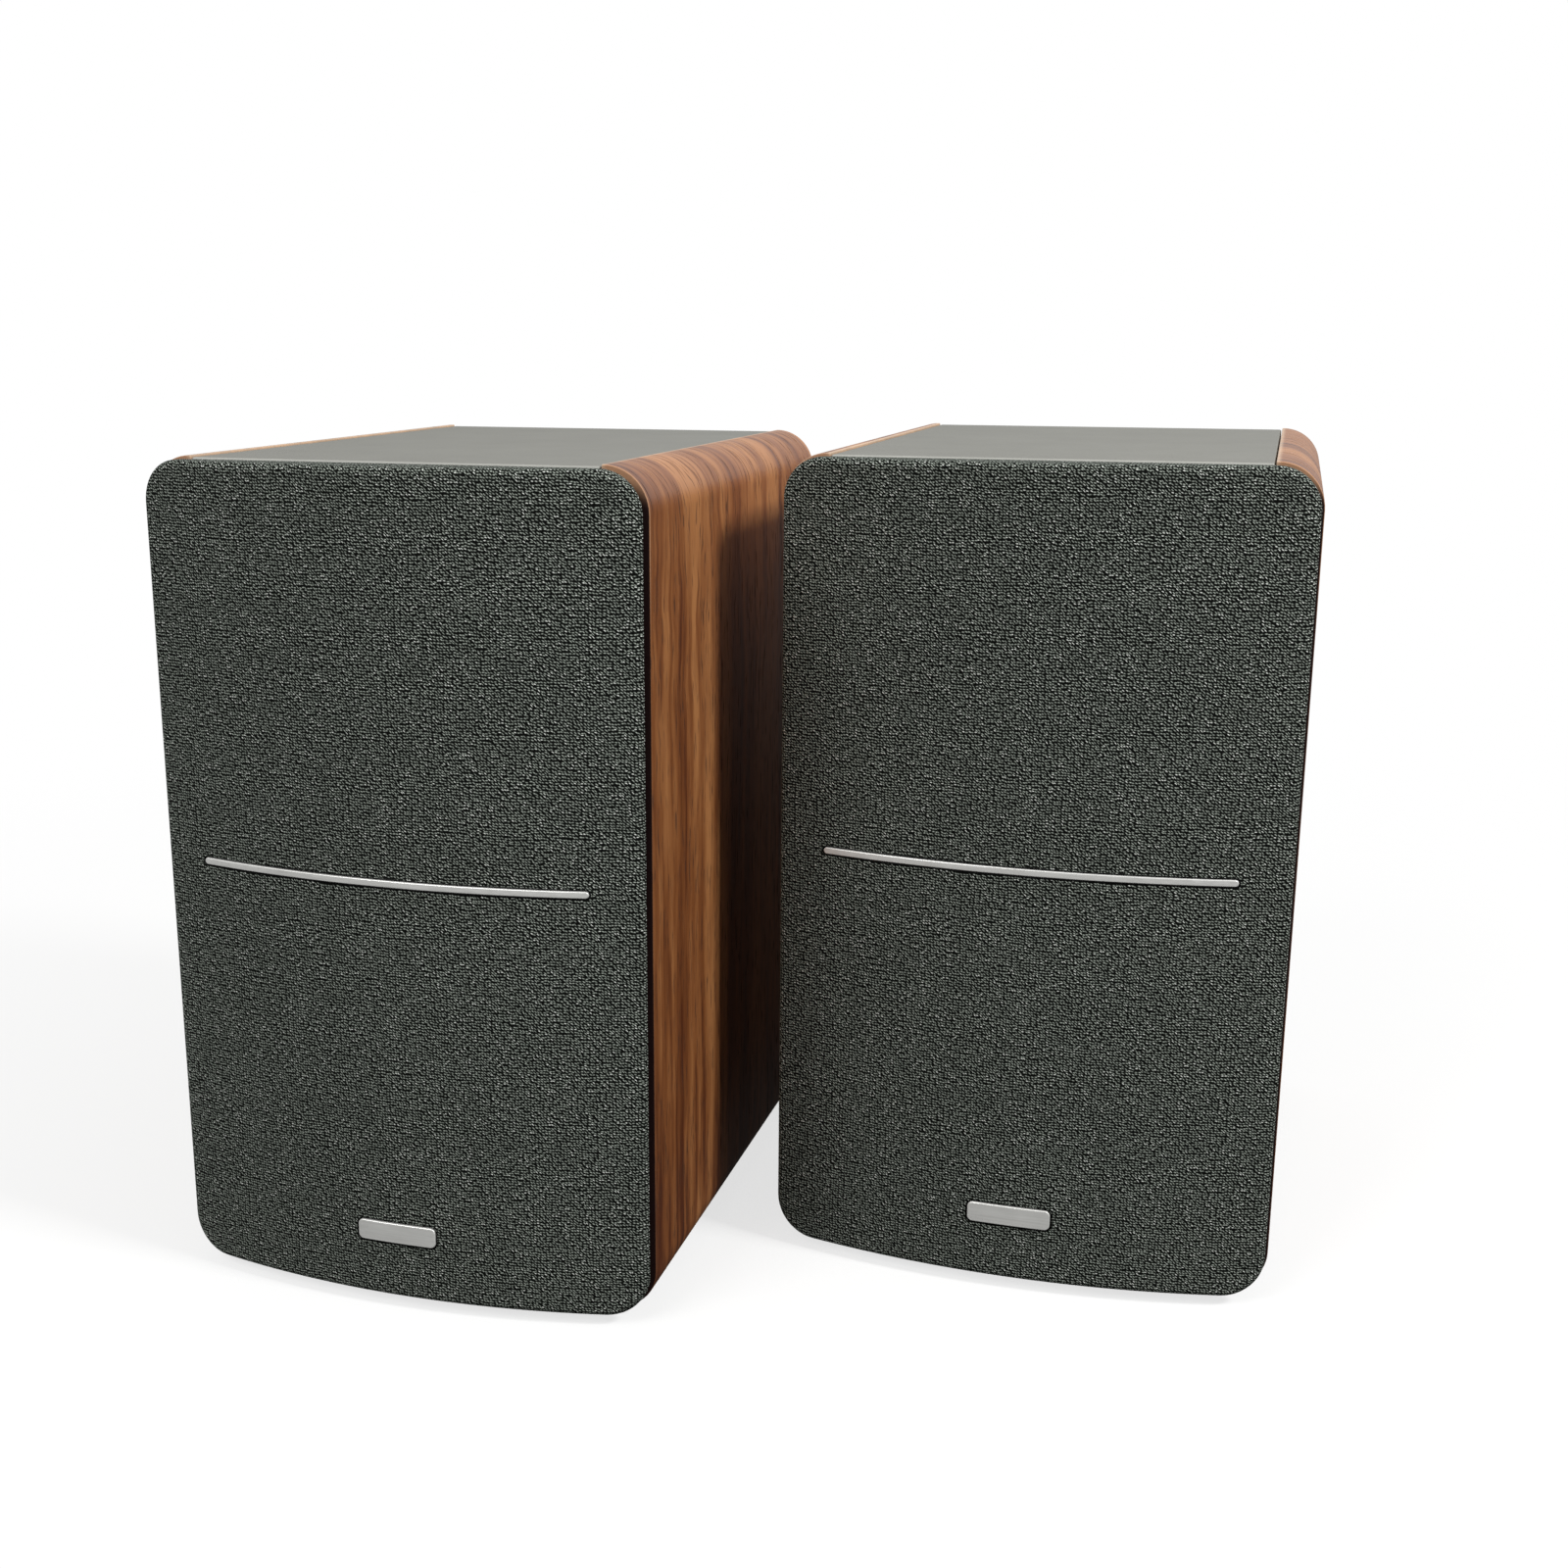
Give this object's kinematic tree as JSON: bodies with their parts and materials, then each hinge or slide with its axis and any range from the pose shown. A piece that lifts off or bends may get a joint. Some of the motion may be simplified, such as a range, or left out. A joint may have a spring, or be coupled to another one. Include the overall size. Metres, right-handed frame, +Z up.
{
  "type": "desktop speaker pair",
  "caption": "Desktop speakers with veneered sides, grey top panels and bowed cloth grilles on push-fit pegs; one cabinet holds the amplifier, side knobs and rear sockets.",
  "frame": {"origin": "centre of the pair's bounding box, on the surface that the feet stand on", "axes": "+Z up, -Y out of the grilles towards the listener, +X to the listener's right, from the passive speaker to the powered one"},
  "size_m": [0.3114, 0.2618, 0.2405],
  "materials": {
    "walnut_veneer": "satin lacquer",
    "grey_vinyl": "fibreboard with satin grey vinyl",
    "black_board": "fibreboard with matt black vinyl",
    "black_plastic": "fine moulded texture",
    "grille_cloth": "stretched woven cloth",
    "satin_metal": "satin",
    "painted_steel": "satin black paint",
    "ferrite": "dull",
    "paper": "matt pulp",
    "rubber": "matt",
    "copper": "enamelled wire",
    "woven_spider": "resin-treated cloth",
    "silk": "coated",
    "circuit_board": "satin",
    "core_steel": "varnished laminations",
    "red_plastic": "gloss"
  },
  "bodies": {
    "right_cabinet": {"right_side_panel_outer": "walnut_veneer", "right_side_panel_inner": "walnut_veneer", "right_top_panel": "grey_vinyl", "right_bottom_panel": "grey_vinyl", "right_back_panel": "black_board", "right_front_baffle": "black_board", "right_front_foot": "rubber", "right_rear_foot": "rubber", "right_woofer_basket": "painted_steel", "right_woofer_magnet": "ferrite", "right_woofer_spider": "woven_spider", "right_woofer_surround": "rubber", "right_tweeter_plate": "black_plastic", "right_tweeter_dome": "silk", "right_tweeter_magnet": "ferrite", "right_port_tube": "black_plastic", "right_terminal_cup": "black_plastic", "right_amp_plate": "painted_steel", "right_amp_board": "circuit_board", "right_transformer": "core_steel", "right_input_jacks": "black_plastic", "right_power_inlet": "black_plastic", "right_control_panel": "black_plastic", "right_control_board": "circuit_board"},
    "left_cabinet": {"left_side_panel_outer": "walnut_veneer", "left_side_panel_inner": "walnut_veneer", "left_top_panel": "grey_vinyl", "left_bottom_panel": "grey_vinyl", "left_back_panel": "black_board", "left_front_baffle": "black_board", "left_front_foot": "rubber", "left_rear_foot": "rubber", "left_woofer_basket": "painted_steel", "left_woofer_magnet": "ferrite", "left_woofer_spider": "woven_spider", "left_woofer_surround": "rubber", "left_tweeter_plate": "black_plastic", "left_tweeter_dome": "silk", "left_tweeter_magnet": "ferrite", "left_port_tube": "black_plastic", "left_terminal_cup": "black_plastic", "left_crossover": "circuit_board"},
    "left_grille": {"left_grille_frame": "black_plastic", "left_grille_cloth": "grille_cloth", "left_grille_trim": "satin_metal"},
    "right_grille": {"right_grille_frame": "black_plastic", "right_grille_cloth": "grille_cloth", "right_grille_trim": "satin_metal"},
    "left_cone": {"left_woofer_cone": "paper", "left_woofer_voice_coil": "copper"},
    "right_cone": {"right_woofer_cone": "paper", "right_woofer_voice_coil": "copper"},
    "volume_knob": {"right_volume_knob": "black_plastic"},
    "treble_knob": {"right_treble_knob": "black_plastic"},
    "bass_knob": {"right_bass_knob": "black_plastic"},
    "power_rocker": {"right_power_rocker": "black_plastic"},
    "left_red_lever": {"left_red_lever": "red_plastic"},
    "left_black_lever": {"left_black_lever": "black_plastic"},
    "right_red_lever": {"right_red_lever": "red_plastic"},
    "right_black_lever": {"right_black_lever": "black_plastic"}
  },
  "joints": [
    {"name": "left_spacing", "type": "slide", "parent": "right_cabinet", "child": "left_cabinet", "axis": [-1, 0, 0], "range_m": [0, 0.3]},
    {"name": "left_grille_pull", "type": "slide", "parent": "left_cabinet", "child": "left_grille", "axis": [0, -1, 0], "range_m": [0, 0.03]},
    {"name": "right_grille_pull", "type": "slide", "parent": "right_cabinet", "child": "right_grille", "axis": [0, -1, 0], "range_m": [0, 0.03]},
    {"name": "left_cone_travel", "type": "slide", "parent": "left_cabinet", "child": "left_cone", "axis": [0, -1, 0], "range_m": [-0.003, 0.003], "stiffness_N_per_m": 1000, "deforming": ["left_woofer_surround", "left_woofer_spider"]},
    {"name": "right_cone_travel", "type": "slide", "parent": "right_cabinet", "child": "right_cone", "axis": [0, -1, 0], "range_m": [-0.003, 0.003], "stiffness_N_per_m": 1000, "deforming": ["right_woofer_surround", "right_woofer_spider"]},
    {"name": "volume_turn", "type": "hinge", "parent": "right_cabinet", "child": "volume_knob", "pos_m": [0.1458, -0.0175, 0.1795], "axis": [1, 0, 0], "range_deg": [-150, 150]},
    {"name": "treble_turn", "type": "hinge", "parent": "right_cabinet", "child": "treble_knob", "pos_m": [0.1458, -0.0175, 0.1505], "axis": [1, 0, 0], "range_deg": [-150, 150]},
    {"name": "bass_turn", "type": "hinge", "parent": "right_cabinet", "child": "bass_knob", "pos_m": [0.1458, -0.0175, 0.1215], "axis": [1, 0, 0], "range_deg": [-150, 150]},
    {"name": "power_rock", "type": "hinge", "parent": "right_cabinet", "child": "power_rocker", "pos_m": [0.0952, 0.1196, 0.0538], "axis": [1, 0, 0], "range_deg": [0, 18]},
    {"name": "left_red_press", "type": "hinge", "parent": "left_cabinet", "child": "left_red_lever", "pos_m": [-0.0932, 0.0546, 0.1263], "axis": [-1, 0, 0], "range_deg": [0, 20], "stiffness_Nm_per_rad": 0.06},
    {"name": "left_black_press", "type": "hinge", "parent": "left_cabinet", "child": "left_black_lever", "pos_m": [-0.0722, 0.0546, 0.1263], "axis": [-1, 0, 0], "range_deg": [0, 20], "stiffness_Nm_per_rad": 0.06},
    {"name": "right_red_press", "type": "hinge", "parent": "right_cabinet", "child": "right_red_lever", "pos_m": [0.0722, 0.1183, 0.1263], "axis": [-1, 0, 0], "range_deg": [0, 20], "stiffness_Nm_per_rad": 0.06},
    {"name": "right_black_press", "type": "hinge", "parent": "right_cabinet", "child": "right_black_lever", "pos_m": [0.0932, 0.1183, 0.1263], "axis": [-1, 0, 0], "range_deg": [0, 20], "stiffness_Nm_per_rad": 0.06}
  ]
}
